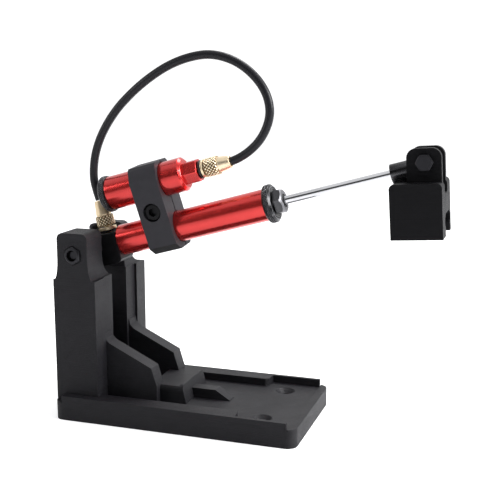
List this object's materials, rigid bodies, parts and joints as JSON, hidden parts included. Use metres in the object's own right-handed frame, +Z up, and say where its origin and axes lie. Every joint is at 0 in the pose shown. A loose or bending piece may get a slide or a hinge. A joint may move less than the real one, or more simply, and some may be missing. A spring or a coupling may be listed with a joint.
{
  "type": "hydraulic damper on a stand",
  "caption": "Small hydraulic damper with a remote reservoir and hose, pivoted on a printed stand, its rod ending in a hinged pedal bracket.",
  "frame": {"origin": "centre of the base's flat underside", "axes": "+Z up, +X from the tower towards the bracket along the base's length, +Y across the base towards the pivot bolt's head"},
  "size_m": [0.1877, 0.067, 0.1823],
  "materials": {
    "printed_plastic": "3-D printed, layer lines",
    "red_anodised": "red anodised, turned",
    "black_anodised": "black anodised",
    "black_steel": "black oxide steel",
    "chrome_rod": "hard chrome, polished",
    "brass": "turned and knurled",
    "rubber": "matt",
    "hose_rubber": "smooth, satin",
    "polymer": "machined"
  },
  "bodies": {
    "stand": {"printed_base": "printed_plastic", "pivot_bolt": "black_steel", "pivot_nut": "black_steel"},
    "damper": {"rear_cap": "black_anodised", "bleed_screw": "black_steel", "rear_cap_seal": "rubber", "main_tube": "red_anodised", "front_cap": "black_anodised", "front_cap_seal": "rubber", "rod_bush": "brass", "rod_seal": "rubber", "rod_wiper": "rubber", "gland_nut": "black_anodised", "clamp_near": "black_anodised", "clamp_far": "black_anodised", "clamp_screw": "black_steel", "reservoir_body": "red_anodised", "reservoir_cap": "black_anodised", "reservoir_cap_seal": "rubber", "front_port_seal": "rubber", "front_fitting_body": "brass", "front_hose_nut": "brass", "rear_port_seal": "rubber", "rear_fitting_body": "brass", "rear_hose_nut": "brass", "hose": "hose_rubber"},
    "rod": {"piston_rod": "chrome_rod", "piston": "polymer", "piston_seal": "rubber", "rod_end": "black_anodised"},
    "floating_piston": {"free_piston": "polymer", "free_piston_seal": "rubber"},
    "bracket": {"pedal_bracket": "printed_plastic", "clevis_bolt": "black_steel", "clevis_nut": "black_steel"}
  },
  "joints": [
    {"name": "damper_pivot", "type": "hinge", "parent": "stand", "child": "damper", "pos_m": [-0.0518, 0, 0.0838], "axis": [0, -1, 0], "range_deg": [-25, 50]},
    {"name": "rod_slide", "type": "slide", "parent": "damper", "child": "rod", "axis": [0.9627, 0, 0.2706], "range_m": [-0.045, 0]},
    {"name": "free_piston_slide", "type": "slide", "parent": "damper", "child": "floating_piston", "axis": [0.9627, 0, 0.2706], "range_m": [-0.005, 0]},
    {"name": "bracket_pivot", "type": "hinge", "parent": "rod", "child": "bracket", "pos_m": [0.11437, 0, 0.13269], "axis": [0, -1, 0], "range_deg": [-14, 60]}
  ],
  "couplings": [
    {"joint": "free_piston_slide", "follows": "rod_slide", "ratio": 0.0947}
  ]
}
